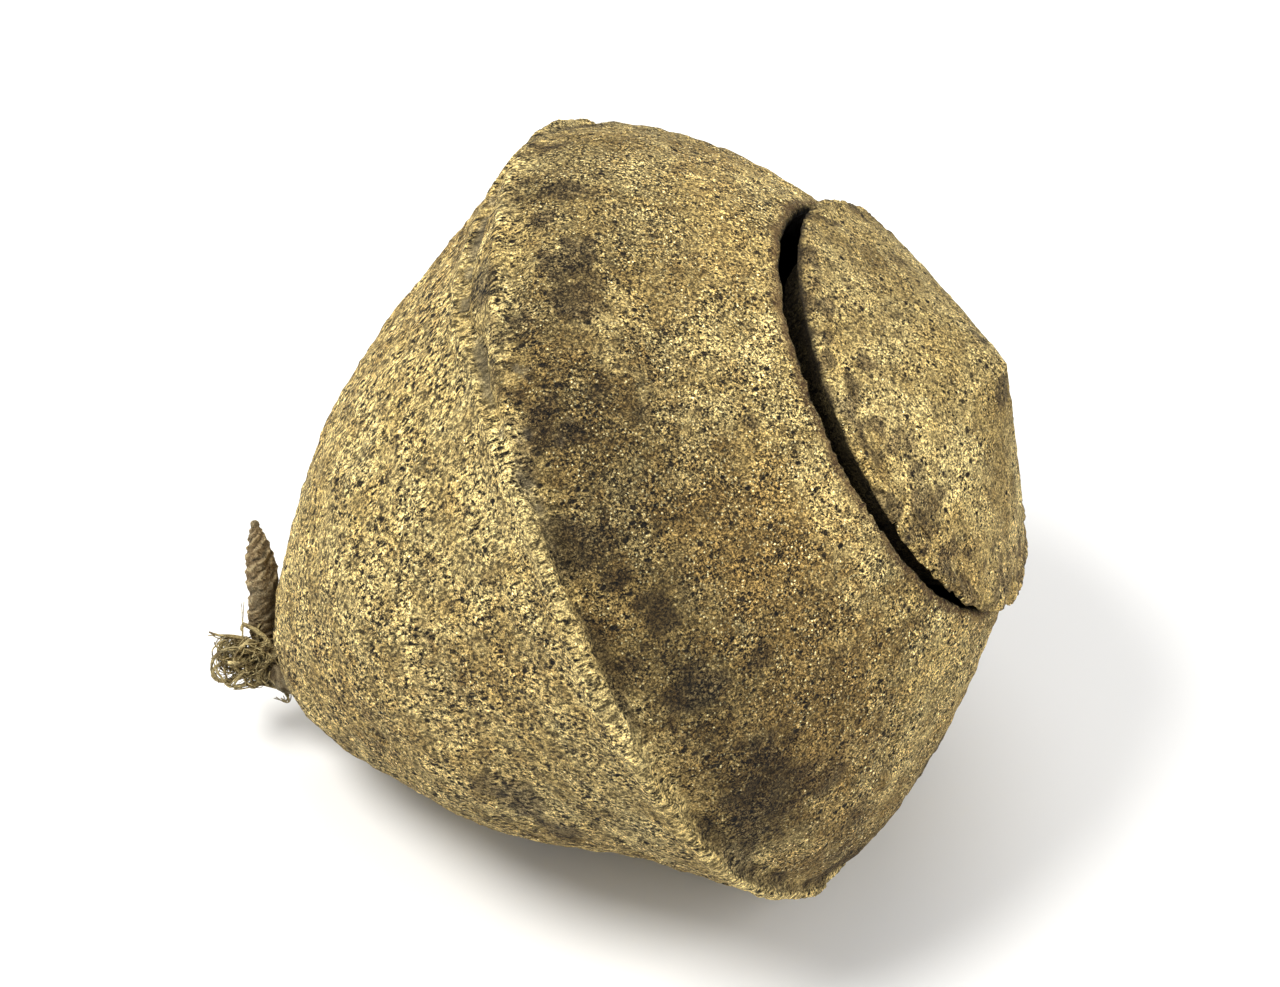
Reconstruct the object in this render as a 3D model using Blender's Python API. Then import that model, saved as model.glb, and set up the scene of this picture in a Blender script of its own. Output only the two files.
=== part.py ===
"""A paradise nut fruit: its empty woody pot, lying on its side with the lid slipped open.

Units are metres, +Z is up and the surface that the fruit lies on is Z = 0. The fruit is shaped in its
own axes, which an empty then tilts: its Z runs from the stalk end (minus) to the lid (plus) with 0 at
the ring, and its X points up. An angle round the fruit is 0 on top, 90 degrees on the world's -Y side
and 180 degrees on the side that it lies on.
"""

import math
import random

import bmesh
import bpy
from mathutils import Matrix, Vector, noise

MM = 0.001

# Pose: the axis rises to +X, and two spots of the underside are worn flat where the fruit lies
TILT = math.radians(31.0)
WORN_DEPTH = 0.8 * MM

# Pot: heights along the axis and radii of its outside
BASE_Z = -73.6 * MM
SCAR_RADIUS = 4.6 * MM
RING_Z = -0.3 * MM
RING_RADIUS = 60.6 * MM
MOUTH_Z = 36.3 * MM
MOUTH_RADIUS = 33.7 * MM
FLANK_POWER = 0.577
SHOULDER_POWER = 1.59

# Pot: how it departs from a turned shape
HIGH_SIDE = math.radians(315.0)      # the ring and the mouth lean towards this side
RING_LEAN = 5.1 * MM
MOUTH_SHIFT = 1.9 * MM
MOUTH_LEAN = 1.4 * MM
MOUTH_LEAN_SIDE = math.radians(344.0)  # the mouth's edge is lowest on this side
RING_BULGE = 0.5 * MM
BULGE_SIDE = math.radians(180.0)
HIGH_BULGE = 0.9 * MM                # the ring stands out further on the high side
WAIST_DEPTH = 2.1 * MM               # the pinched belt under the ring, deepest opposite HIGH_SIDE
WAIST_PLACE = 0.72
WAIST_WIDTH = 0.17
FOOT_DEPTH = 1.9 * MM                # the pinch nearer the stalk on the same side
FOOT_PLACE = 0.2
FOOT_WIDTH = 0.15
SWELL_HEIGHT = 2.4 * MM              # the fuller flank on the high side
SWELL_PLACE = 0.5
SWELL_WIDTH = 0.25

# Pot: the raised ring's lip and the groove behind it
LIP_HEIGHT = 0.5 * MM
LIP_BELOW = 0.9 * MM                 # the lip starts this far on the stalk's side of the ring
LIP_ABOVE = 1.2 * MM
GROOVE_DEPTH = 1.3 * MM
GROOVE_SIDE = math.radians(60.0)     # the groove is full depth on this side
GROOVE_FADE = 0.4                    # and loses up to twice this share of it on the other
GROOVE_ROWS = ((2.3 * MM, 1.0), (4.2 * MM, 0.45), (7.0 * MM, 0.1))  # past the ring, share of the depth
SHOULDER_START = 0.27                # share of the shoulder's height that the groove takes

# Pot: the hollow inside and the seat that the lid sat in
CAVITY_BASE_Z = -60.0 * MM
CAVITY_RADIUS = 48.0 * MM
SEAT_Z = 29.5 * MM
SEAT_RADIUS = 30.4 * MM
RIM_WIDTH = 1.5 * MM
RIM_RISE = 0.3 * MM                  # the rim's middle stands this much above its sides
CAVITY_POWER = 0.6

# Relief of the woody surface
LUMP_SIZE = 30.0 * MM
LUMP_HEIGHT = 0.9 * MM
KNOT_SIZE = 11.0 * MM
KNOT_HEIGHT = 0.45 * MM

# Lid: heights are measured from the plane of its edge
LID_RADIUS = 33.8 * MM
LID_HEIGHT = 16.3 * MM
MARGIN_HEIGHT = 2.5 * MM             # the steep margin below the dome
CROWN_SHARE = 0.9                    # of the radius is dome, the rest is margin
DOME_POWER = 1.11
LID_Z = 37.8 * MM
LID_OFFSET = (-0.7 * MM, -2.8 * MM)  # how far the loose lid has slid, towards the top and 90 degrees
LID_LEAN = math.radians(1.5)
LID_LEAN_SIDE = math.radians(186.0)  # the lid is raised on this side
PLUG_RADIUS = 28.7 * MM
PLUG_TIP_RADIUS = 26.8 * MM
PLUG_DEPTH = 7.0 * MM
PEG_RADIUS = 5.5 * MM
PEG_DEPTH = 15.0 * MM

# Stalk: (towards the top, towards 90 degrees, along the axis, radius)
STALK_ROUTE = (
    (0.0, 0.0, -73.3, 2.9),
    (0.0, -0.1, -75.0, 2.4),
    (0.6, -2.8, -77.0, 2.0),
    (2.4, -6.0, -77.7, 1.8),
    (5.6, -8.3, -76.2, 2.1),
    (9.4, -9.6, -73.8, 2.4),
    (12.9, -11.0, -71.5, 2.6),
    (16.4, -12.8, -69.7, 2.0),
    (20.0, -14.4, -68.4, 0.5),
)
STALK_SIDES = 10
STALK_RINGS = 25
ROLL_DEPTH = 0.14                    # the rolled shoot's crease, as a share of its radius
ROLL_TURNS = 2.2

# Bark fibres frayed from the stalk's foot
FIBRE_COUNT = 11
FIBRE_RADIUS = 0.42 * MM
FIBRE_STEPS = 12
FIBRE_SIDES = 5
FIBRE_REACH = (4.5 * MM, 9.0 * MM)
FIBRE_FAN = (math.radians(125.0), math.radians(260.0))  # seen from the side, from up and back to down
FIBRE_CLEARANCE = 1.6 * MM
COLLAR_GAP = 0.35 * MM
COLLAR_WALL = 0.9 * MM
COLLAR_RINGS = (5, 9)                # between these rings of the stalk the torn bark wraps it
FIBRE_SEED = 7

COLUMNS = 72
FLANK_ROWS = 16
SHOULDER_ROWS = 9
CAVITY_ROWS = 7
DOME_ROWS = 9
MARGIN_ROWS = 4
LID_COLUMNS = 60


def remove_everything():
    for item in list(bpy.data.objects):
        bpy.data.objects.remove(item, do_unlink=True)


def make_material(name, colour, roughness):
    material = bpy.data.materials.new(name)
    material.use_nodes = True
    shader = material.node_tree.nodes["Principled BSDF"]
    shader.inputs["Base Color"].default_value = (*colour, 1.0)
    shader.inputs["Roughness"].default_value = roughness
    shader.inputs["Metallic"].default_value = 0.0
    return material


def bell(value, place, width):
    """A smooth hump of height 1 at a place."""
    return math.exp(-(((value - place) / width) ** 2))


def low_side(angle):
    """1 on the side opposite HIGH_SIDE, 0 on HIGH_SIDE."""
    return (1.0 - math.cos(angle - HIGH_SIDE)) / 2.0


def relief(point, fade=1.0):
    """Broad lumps and smaller knots of the woody surface, as a height."""
    lumps = noise.noise(point / LUMP_SIZE + Vector((3.1, 0.4, 7.7)))
    knots = noise.noise(point / KNOT_SIZE + Vector((9.2, 5.1, 1.3)))
    return (LUMP_HEIGHT * lumps + KNOT_HEIGHT * knots) * fade


def pot_profile():
    """The pot's outline as (radius, z, part) from the stalk scar over the rim to the cavity's bottom."""
    span = RING_Z - BASE_Z
    first = (SCAR_RADIUS / RING_RADIUS) ** (1.0 / FLANK_POWER)
    points = [(0.0, BASE_Z + span * first, "scar")]
    for row in range(FLANK_ROWS):
        x = first + (0.97 - first) * (row / (FLANK_ROWS - 1)) ** 1.35
        points.append((RING_RADIUS * x ** FLANK_POWER, BASE_Z + span * x, "flank"))
    points.append((RING_RADIUS + 0.5 * LIP_HEIGHT, RING_Z - LIP_BELOW, "ring"))
    points.append((RING_RADIUS + LIP_HEIGHT, RING_Z + 0.25 * LIP_ABOVE, "ring"))
    points.append((RING_RADIUS - 0.1 * LIP_HEIGHT, RING_Z + LIP_ABOVE, "ring"))
    rise = MOUTH_Z - RING_Z
    for place, share in GROOVE_ROWS:
        y = place / rise
        radius = RING_RADIUS - (RING_RADIUS - MOUTH_RADIUS) * y ** SHOULDER_POWER
        points.append((radius - GROOVE_DEPTH * share, RING_Z + place, f"groove {share}"))
    for row in range(SHOULDER_ROWS):
        y = SHOULDER_START + (1.0 - SHOULDER_START) * row / (SHOULDER_ROWS - 1)
        radius = RING_RADIUS - (RING_RADIUS - MOUTH_RADIUS) * y ** SHOULDER_POWER
        points.append((radius, RING_Z + rise * y, "shoulder"))
    points.append((MOUTH_RADIUS - 0.47 * RIM_WIDTH, MOUTH_Z + RIM_RISE, "rim"))
    points.append((MOUTH_RADIUS - RIM_WIDTH, MOUTH_Z - RIM_RISE, "rim"))
    points.append((SEAT_RADIUS, SEAT_Z, "rim"))
    for row in range(1, CAVITY_ROWS):
        y = 1.0 - row / CAVITY_ROWS
        radius = CAVITY_RADIUS - (CAVITY_RADIUS - SEAT_RADIUS) * y ** SHOULDER_POWER
        points.append((radius, RING_Z + (SEAT_Z - RING_Z) * y, "cavity"))
    for row in range(CAVITY_ROWS + 2):
        x = (1.0 - row / (CAVITY_ROWS + 2)) ** 1.3
        radius = CAVITY_RADIUS * x ** CAVITY_POWER
        points.append((radius, CAVITY_BASE_Z + (RING_Z - CAVITY_BASE_Z) * x, "cavity"))
    points.append((0.0, CAVITY_BASE_Z, "cavity"))
    return points


def pot_point(radius, z, part, angle):
    """Moves a point of the turned profile to where the grown, uneven pot has it."""
    if radius == 0.0:
        return Vector((0.0, 0.0, z))
    below = min(max((z - BASE_Z) / (RING_Z - BASE_Z), 0.0), 1.0)
    above = min(max((z - RING_Z) / (MOUTH_Z - RING_Z), 0.0), 1.0)
    at_ring = below if z < RING_Z else 1.0 - above
    under = low_side(angle)
    radius -= WAIST_DEPTH * under * bell(below, WAIST_PLACE, WAIST_WIDTH) * (above == 0.0)
    radius -= FOOT_DEPTH * under * bell(below, FOOT_PLACE, FOOT_WIDTH)
    radius += SWELL_HEIGHT * (1.0 - under) * bell(below, SWELL_PLACE, SWELL_WIDTH)
    radius += RING_BULGE * bell(math.cos(angle - BULGE_SIDE), 1.0, 0.35) * at_ring ** 3
    radius += HIGH_BULGE * (1.0 - under) ** 2 * at_ring ** 3
    if part.startswith("groove"):
        share = float(part.split()[1])
        radius += GROOVE_DEPTH * share * GROOVE_FADE * (1.0 - math.cos(angle - GROOVE_SIDE))
    z += RING_LEAN * math.cos(angle - HIGH_SIDE) * at_ring
    z -= MOUTH_LEAN * math.cos(angle - MOUTH_LEAN_SIDE) * above
    shift = MOUTH_SHIFT * above
    point = Vector((
        radius * math.cos(angle) + shift * math.cos(HIGH_SIDE),
        radius * math.sin(angle) + shift * math.sin(HIGH_SIDE),
        z,
    ))
    if part in ("flank", "shoulder", "ring") or part.startswith("groove"):
        outward = Vector((math.cos(angle), math.sin(angle), 0.0))
        calm = bell(math.cos(angle), -1.0, 0.25)
        near_end = min(1.0, below / 0.15) * min(1.0, (1.0 - above) / 0.15)
        point += outward * relief(point, near_end * (1.0 - 0.8 * calm))
    return point


def turned_mesh(profile, columns, place_point):
    """A closed mesh of rings: each ring is one profile point carried round the axis by place_point."""
    mesh = bmesh.new()
    rings = []
    for radius, z, part in profile:
        if radius == 0.0:
            rings.append([mesh.verts.new(place_point(0.0, z, part, 0.0))])
            continue
        ring = []
        for column in range(columns):
            ring.append(mesh.verts.new(place_point(radius, z, part, 2.0 * math.pi * column / columns)))
        rings.append(ring)
    for lower, upper in zip(rings, rings[1:]):
        for column in range(columns):
            following = (column + 1) % columns
            if len(lower) == 1:
                mesh.faces.new((lower[0], upper[following], upper[column]))
            elif len(upper) == 1:
                mesh.faces.new((lower[column], lower[following], upper[0]))
            else:
                mesh.faces.new((lower[column], lower[following], upper[following], upper[column]))
    bmesh.ops.recalc_face_normals(mesh, faces=mesh.faces)
    return mesh


def add_object(name, mesh, material, parent):
    data = bpy.data.meshes.new(name)
    mesh.to_mesh(data)
    mesh.free()
    data.shade_smooth()
    data.set_sharp_from_angle(angle=math.radians(40.0))
    data.materials.append(material)
    item = bpy.data.objects.new(name, data)
    bpy.context.scene.collection.objects.link(item)
    item.parent = parent
    return item


def wear_flat(mesh, depth):
    """Cuts the underside level with the surface, and returns how far below the ring's centre that is."""
    down = Vector((-math.cos(TILT), 0.0, -math.sin(TILT)))
    level = max(vert.co.dot(down) for vert in mesh.verts) - depth
    everything = list(mesh.verts) + list(mesh.edges) + list(mesh.faces)
    bmesh.ops.bisect_plane(mesh, geom=everything, plane_co=down * level, plane_no=down, clear_outer=True)
    open_edges = [edge for edge in mesh.edges if edge.is_boundary]
    bmesh.ops.holes_fill(mesh, edges=open_edges)
    bmesh.ops.recalc_face_normals(mesh, faces=mesh.faces)
    return level


def make_pot(parent, material):
    mesh = turned_mesh(pot_profile(), COLUMNS, pot_point)
    level = wear_flat(mesh, WORN_DEPTH)
    return add_object("pot", mesh, material, parent), level


def lid_profile():
    """The lid's outline as (radius, z, part) from the tip of its dome round its edge to its peg."""
    points = [(0.0, LID_HEIGHT, "dome")]
    crown = LID_HEIGHT - MARGIN_HEIGHT
    for row in range(1, DOME_ROWS + 1):
        share = row / DOME_ROWS
        height = MARGIN_HEIGHT + crown * (1.0 - share ** DOME_POWER)
        points.append((LID_RADIUS * CROWN_SHARE * share, height, "dome"))
    for row in range(1, MARGIN_ROWS):
        turn = 0.5 * math.pi * row / MARGIN_ROWS
        radius = LID_RADIUS * (CROWN_SHARE + (1.0 - CROWN_SHARE) * math.sin(turn))
        points.append((radius, MARGIN_HEIGHT * math.cos(turn), "dome"))
    points.append((LID_RADIUS, 0.4 * MM, "edge"))
    points.append((LID_RADIUS - 0.4 * MM, 0.0, "edge"))
    points.append((PLUG_RADIUS, -0.3 * MM, "edge"))
    points.append((PLUG_TIP_RADIUS, -PLUG_DEPTH, "plug"))
    points.append((PLUG_TIP_RADIUS - 2.5 * MM, -PLUG_DEPTH - 0.8 * MM, "plug"))
    points.append((2.5 * PEG_RADIUS, -PLUG_DEPTH + 1.5 * MM, "plug"))
    points.append((PEG_RADIUS, -PLUG_DEPTH - 0.5 * MM, "plug"))
    points.append((0.6 * PEG_RADIUS, -PEG_DEPTH, "plug"))
    points.append((0.0, -PEG_DEPTH - 1.0 * MM, "plug"))
    return points


def lid_point(radius, z, part, angle):
    point = Vector((radius * math.cos(angle), radius * math.sin(angle), z))
    if part == "dome" and radius > 0.0:
        fade = min(1.0, (LID_RADIUS - radius) / (5.0 * MM)) * min(1.0, radius / (5.0 * MM))
        point.z += relief(point + Vector((0.0, 0.0, LID_Z)), 0.8 * fade)
    return point


def make_lid(parent, material):
    lid = add_object("lid", turned_mesh(lid_profile(), LID_COLUMNS, lid_point), material, parent)
    lid.location = (LID_OFFSET[0], LID_OFFSET[1], LID_Z)
    hinge = Vector((math.sin(LID_LEAN_SIDE), -math.cos(LID_LEAN_SIDE), 0.0))
    lid.rotation_mode = "QUATERNION"
    lid.rotation_quaternion = Matrix.Rotation(LID_LEAN, 3, hinge).to_quaternion()
    return lid


def smooth_route(knots, count):
    """Evenly spaced values along a smooth curve through the knots (any number of values in each)."""
    values = []
    for step in range(count):
        place = step / (count - 1) * (len(knots) - 1)
        index = min(int(place), len(knots) - 2)
        t = place - index
        before = knots[max(index - 1, 0)]
        start, end = knots[index], knots[index + 1]
        after = knots[min(index + 2, len(knots) - 1)]
        values.append(tuple(
            0.5 * (2.0 * b + (c - a) * t + (2.0 * a - 5.0 * b + 4.0 * c - d) * t ** 2
                   + (3.0 * b - a - 3.0 * c + d) * t ** 3)
            for a, b, c, d in zip(before, start, end, after)
        ))
    return values


def sweep(mesh, route, radii, sides, radius_at=None):
    """Adds a tube with closed ends along the route; radius_at(share, angle) shapes its section."""
    side = None
    rings = []
    for index, centre in enumerate(route):
        ahead = route[min(index + 1, len(route) - 1)] - route[max(index - 1, 0)]
        ahead.normalize()
        if side is None:
            side = ahead.orthogonal().normalized()
        side = (side - ahead * side.dot(ahead)).normalized()
        across = ahead.cross(side)
        ring = []
        for corner in range(sides):
            angle = 2.0 * math.pi * corner / sides
            radius = radii[index]
            if radius_at:
                radius *= radius_at(index / (len(route) - 1), angle)
            ring.append(mesh.verts.new(centre + radius * (math.cos(angle) * side + math.sin(angle) * across)))
        rings.append(ring)
    for lower, upper in zip(rings, rings[1:]):
        for corner in range(sides):
            following = (corner + 1) % sides
            mesh.faces.new((lower[corner], lower[following], upper[following], upper[corner]))
    mesh.faces.new(list(reversed(rings[0])))
    mesh.faces.new(rings[-1])


def stalk_route():
    """The stalk's centres and radii in metres."""
    values = smooth_route(STALK_ROUTE, STALK_RINGS)
    centres = [Vector(value[:3]) * MM for value in values]
    return centres, [value[3] * MM for value in values]


def rolled(share, angle):
    """The shoot is a leaf rolled on itself: one crease winds round it above the stub."""
    turn = angle - 2.0 * math.pi * ROLL_TURNS * share
    crease = bell(math.cos(turn), 1.0, 0.35) * min(1.0, 3.0 * share)
    return 1.0 + ROLL_DEPTH * (0.5 - 1.5 * crease + 0.3 * math.cos(3.0 * angle + 9.0 * share))


def make_stalk(parent, material):
    mesh = bmesh.new()
    centres, radii = stalk_route()
    sweep(mesh, centres, radii, STALK_SIDES, rolled)
    bmesh.ops.recalc_face_normals(mesh, faces=mesh.faces)
    return add_object("stalk", mesh, material, parent)


def make_collar(mesh):
    """A sleeve of torn bark round the stalk's foot, clear of the stalk."""
    centres, radii = stalk_route()
    first, last = COLLAR_RINGS
    walls = []
    for extra in (COLLAR_GAP, COLLAR_GAP + COLLAR_WALL):
        loops = []
        for index in range(first, last + 1):
            ahead = (centres[index + 1] - centres[index - 1]).normalized()
            side = (Vector((0.0, 1.0, 0.0)) - ahead * ahead.y).normalized()
            across = ahead.cross(side)
            radius = radii[index] * (1.0 + ROLL_DEPTH) + extra
            loop = []
            for corner in range(STALK_SIDES):
                angle = 2.0 * math.pi * corner / STALK_SIDES
                loop.append(mesh.verts.new(
                    centres[index] + radius * (math.cos(angle) * side + math.sin(angle) * across)))
            loops.append(loop)
        walls.append(loops)
    inner, outer = walls
    strip = inner + outer[::-1]
    for loop, following_loop in zip(strip, strip[1:] + strip[:1]):
        for corner in range(STALK_SIDES):
            following = (corner + 1) % STALK_SIDES
            mesh.faces.new((loop[corner], loop[following], following_loop[following], following_loop[corner]))


def drop_scraps(data):
    """Keeps only the largest connected body of a mesh."""
    mesh = bmesh.new()
    mesh.from_mesh(data)
    waiting = set(mesh.verts)
    bodies = []
    while waiting:
        body = {waiting.pop()}
        edge_of_body = list(body)
        while edge_of_body:
            vert = edge_of_body.pop()
            for edge in vert.link_edges:
                other = edge.other_vert(vert)
                if other in waiting:
                    waiting.remove(other)
                    body.add(other)
                    edge_of_body.append(other)
        bodies.append(body)
    largest = max(bodies, key=len)
    bmesh.ops.delete(mesh, geom=[vert for vert in mesh.verts if vert not in largest], context="VERTS")
    mesh.to_mesh(data)
    mesh.free()


def clear_of_pot(point):
    """Bends a fibre's point away from the pot's rounded end where it would touch it."""
    reach = math.hypot(point.x, point.y)
    surface = BASE_Z + (RING_Z - BASE_Z) * (reach / RING_RADIUS) ** (1.0 / FLANK_POWER)
    point.z = min(point.z, surface - FIBRE_CLEARANCE)
    return point


def clear_of_stalk(point, centres, radii):
    """Moves a fibre's point out of the stalk, to at least the middle of the collar's wall."""
    for centre, radius in zip(centres, radii):
        away = point - centre
        least = radius * (1.0 + ROLL_DEPTH) + COLLAR_GAP + 0.5 * COLLAR_WALL
        if away.length < least:
            point = centre + away.normalized() * least
    return point


def fibre_routes():
    """Curled strands that leave the collar, loop outwards and come back towards it."""
    draw = random.Random(FIBRE_SEED)
    centres, radii = stalk_route()
    right = Vector((-math.sin(TILT), 0.0, math.cos(TILT)))
    lift = Vector((0.6, -0.7, 0.36)).normalized()
    depth = right.cross(lift)
    routes = []
    for index in range(FIBRE_COUNT):
        ring = COLLAR_RINGS[0] + 1 + index % (COLLAR_RINGS[1] - COLLAR_RINGS[0] - 1)
        share = (index + draw.uniform(-0.4, 0.4)) / FIBRE_COUNT
        heading = FIBRE_FAN[0] + (FIBRE_FAN[1] - FIBRE_FAN[0]) * share
        lean = draw.uniform(-0.75, 0.75)
        outward = (right * math.cos(heading) + lift * math.sin(heading) + depth * lean).normalized()
        ahead = (centres[ring + 1] - centres[ring - 1]).normalized()
        root_side = (outward - ahead * outward.dot(ahead)).normalized()
        root = centres[ring] + root_side * (radii[ring] * (1.0 + ROLL_DEPTH) + COLLAR_GAP + 0.5 * COLLAR_WALL)
        sideways = outward.cross(depth if index % 2 else lift).normalized()
        reach = draw.uniform(*FIBRE_REACH)
        curl = draw.uniform(1.6, 3.4) * (1 if index % 2 else -1)
        route = []
        for step in range(FIBRE_STEPS):
            t = step / (FIBRE_STEPS - 1)
            bend = curl * t ** 1.6
            out = reach * math.sin(0.5 * math.pi * min(1.0, 1.25 * t)) * math.cos(0.45 * bend)
            point = root + outward * out + sideways * reach * 0.55 * math.sin(bend) * t
            route.append(clear_of_pot(clear_of_stalk(point, centres, radii)))
        routes.append(route)
    return routes


def make_fibres(parent, material):
    """The collar and every strand, joined into one body."""
    target_mesh = bmesh.new()
    make_collar(target_mesh)
    bmesh.ops.recalc_face_normals(target_mesh, faces=target_mesh.faces)
    fibres = add_object("bark_fibres", target_mesh, material, parent)
    strands = bpy.data.collections.new("strands")
    bpy.context.scene.collection.children.link(strands)
    for index, route in enumerate(fibre_routes()):
        mesh = bmesh.new()
        radii = [FIBRE_RADIUS * (1.25 - 0.45 * step / (FIBRE_STEPS - 1)) for step in range(FIBRE_STEPS)]
        sweep(mesh, route, radii, FIBRE_SIDES)
        bmesh.ops.recalc_face_normals(mesh, faces=mesh.faces)
        strand = add_object(f"strand_{index}", mesh, material, parent)
        bpy.context.scene.collection.objects.unlink(strand)
        strands.objects.link(strand)
    union = fibres.modifiers.new("join_strands", "BOOLEAN")
    union.operation = "UNION"
    union.operand_type = "COLLECTION"
    union.collection = strands
    union.solver = "MANIFOLD"
    bpy.context.view_layer.update()
    joined = bpy.data.meshes.new_from_object(fibres.evaluated_get(bpy.context.evaluated_depsgraph_get()))
    fibres.modifiers.clear()
    drop_scraps(joined)
    fibres.data = joined
    joined.name = "bark_fibres"
    for strand in list(strands.objects):
        bpy.data.objects.remove(strand, do_unlink=True)
    bpy.data.collections.remove(strands)
    return fibres


def settle(fruit, pieces, level):
    """Tilts the fruit, puts it on the surface and centres its outline over the origin."""
    fruit.rotation_mode = "QUATERNION"
    columns = Matrix((
        (-math.sin(TILT), 0.0, math.cos(TILT)),
        (0.0, -1.0, 0.0),
        (math.cos(TILT), 0.0, math.sin(TILT)),
    )).transposed()
    fruit.rotation_quaternion = columns.to_quaternion()
    fruit.location = (0.0, 0.0, level)
    bpy.context.view_layer.update()
    corners = [piece.matrix_world @ vert.co for piece in pieces for vert in piece.data.vertices]
    for axis in (0, 1):
        low = min(corner[axis] for corner in corners)
        high = max(corner[axis] for corner in corners)
        fruit.location[axis] -= (low + high) / 2.0
    bpy.context.view_layer.update()


def main():
    remove_everything()
    fruit = bpy.data.objects.new("fruit_axis", None)
    bpy.context.scene.collection.objects.link(fruit)
    pot, level = make_pot(fruit, make_material("pot_wood", (0.330, 0.240, 0.105), 0.88))
    lid = make_lid(fruit, make_material("lid_wood", (0.380, 0.290, 0.135), 0.85))
    stalk = make_stalk(fruit, make_material("stalk_bark", (0.190, 0.140, 0.070), 0.90))
    fibres = make_fibres(fruit, make_material("bark_fibre", (0.330, 0.260, 0.120), 0.90))
    settle(fruit, (pot, lid, stalk, fibres), level)


main()
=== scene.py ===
"""The finish of a paradise nut fruit: a dried woody pot with its lid slipped open, and its frayed stalk."""

import math
import random

import bpy
from mathutils import Matrix, Vector, noise


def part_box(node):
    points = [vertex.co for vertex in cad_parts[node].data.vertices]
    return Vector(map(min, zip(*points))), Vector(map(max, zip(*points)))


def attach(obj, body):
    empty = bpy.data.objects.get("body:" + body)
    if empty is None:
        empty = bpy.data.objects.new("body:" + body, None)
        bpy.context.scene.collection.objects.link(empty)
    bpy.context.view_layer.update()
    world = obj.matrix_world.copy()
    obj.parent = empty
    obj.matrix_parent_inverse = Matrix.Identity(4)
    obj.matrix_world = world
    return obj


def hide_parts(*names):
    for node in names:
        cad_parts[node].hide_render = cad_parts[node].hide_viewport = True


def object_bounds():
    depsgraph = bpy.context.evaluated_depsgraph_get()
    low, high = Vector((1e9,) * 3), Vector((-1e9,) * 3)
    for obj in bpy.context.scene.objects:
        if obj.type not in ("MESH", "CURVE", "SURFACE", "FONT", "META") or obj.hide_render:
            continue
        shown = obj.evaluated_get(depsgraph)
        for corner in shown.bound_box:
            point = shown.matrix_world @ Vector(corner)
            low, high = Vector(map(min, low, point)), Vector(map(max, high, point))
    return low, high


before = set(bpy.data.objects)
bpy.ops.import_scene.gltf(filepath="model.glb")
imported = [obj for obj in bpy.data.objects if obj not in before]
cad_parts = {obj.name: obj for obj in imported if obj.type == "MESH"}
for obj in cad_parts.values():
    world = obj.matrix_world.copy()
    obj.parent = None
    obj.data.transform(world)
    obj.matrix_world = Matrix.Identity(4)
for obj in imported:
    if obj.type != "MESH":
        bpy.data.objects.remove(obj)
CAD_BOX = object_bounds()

MM = 0.001

# Where the fruit lies: the middle of its ring, and its axis's rise to +X
TILT = math.radians(31.0)
RING_CENTRE = Vector((12.31, -0.50, 54.08)) * MM
FRUIT_UP = Vector((-math.sin(TILT), 0.0, math.cos(TILT)))
FRUIT_SIDE = Vector((0.0, -1.0, 0.0))
FRUIT_AXIS = Vector((math.cos(TILT), 0.0, math.sin(TILT)))

# The fruit's own sizes, as the part has them; sides are in degrees round its axis, 0 on top
BASE_Z = -73.6 * MM
FLANK_LENGTH = 73.3 * MM              # the flank's curve, from the stalk's end to the ring
FLANK_RADIUS = 60.6 * MM
FLANK_POWER = 0.577
RING_Z = -0.3 * MM
RING_LEAN = 5.1 * MM
RING_HIGH_SIDE = 315.0
HOLLOW_RADIUS = 50.5 * MM             # the hollow's whole wall is within it
MOUTH_Z = 36.3 * MM
MOUTH_LEAN = 1.4 * MM
MOUTH_LOW_SIDE = 344.0
MOUTH_INNER = 28.0 * MM               # the mouth's rim lies between these radii
MOUTH_OUTER = 40.0 * MM
LID_Z = 37.8 * MM
LID_RADIUS = 33.8 * MM
LID_MIDDLE = (-0.7 * MM, -2.8 * MM)

# The camera, for a picture of 1280 by 987 pixels; lengths in mm
PICTURE_WIDTH = 1280
PIXELS_PER_MM = 6.55                  # at the ring's centre
SENSOR = 36.0
LENS = 120.0
CAMERA_RISE = math.radians(45.0)
RING_PIXEL = (691.6, 507.6)           # where the ring's centre is seen
PICTURE_MIDDLE = (640.0, 493.5)
RING_ASIDE = (RING_PIXEL[0] - PICTURE_MIDDLE[0]) / PIXELS_PER_MM
RING_BELOW = (RING_PIXEL[1] - PICTURE_MIDDLE[1]) / PIXELS_PER_MM
CAMERA_AWAY = PICTURE_WIDTH / PIXELS_PER_MM / SENSOR * LENS
EYE_RIGHT = Vector((1.0, 0.0, 0.0))
EYE_UP = Vector((0.0, math.sin(CAMERA_RISE), math.cos(CAMERA_RISE)))
EYE_BACK = Vector((0.0, -math.cos(CAMERA_RISE), math.sin(CAMERA_RISE)))

# The studio: each light's name, place and width in metres, watts and colour
LIGHTS = (
    ("key_light", (-0.42, -0.12, 0.85), 0.40, 8.6, (1.0, 0.985, 0.95)),
    ("fill_light", (0.80, -0.40, 0.60), 0.7, 4.6, (1.0, 1.0, 1.0)),
    ("top_light", (0.1, 0.5, 0.9), 0.8, 4.2, (1.0, 1.0, 1.0)),
)
LIT_PLACE = (0.0, 0.0, 0.05)
SKY_STRENGTH = 0.50
FLOOR_WIDTH = 6.0
FLOOR_LEVEL = -0.0001
FLOOR_COLOUR = (0.86, 0.86, 0.855, 1.0)

# How fine the pieces' meshes are
POT_MESH = 0.85 * MM
LID_MESH = 0.55 * MM
SHOOT_MESH = 0.24 * MM
KEPT_SHARE = 0.72                     # of all the pot's faces, once those of the hollow are thinned


def put_down_everything():
    if bpy.context.object and bpy.context.object.mode != "OBJECT":
        bpy.ops.object.mode_set(mode="OBJECT")
    bpy.ops.object.select_all(action="DESELECT")


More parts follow.
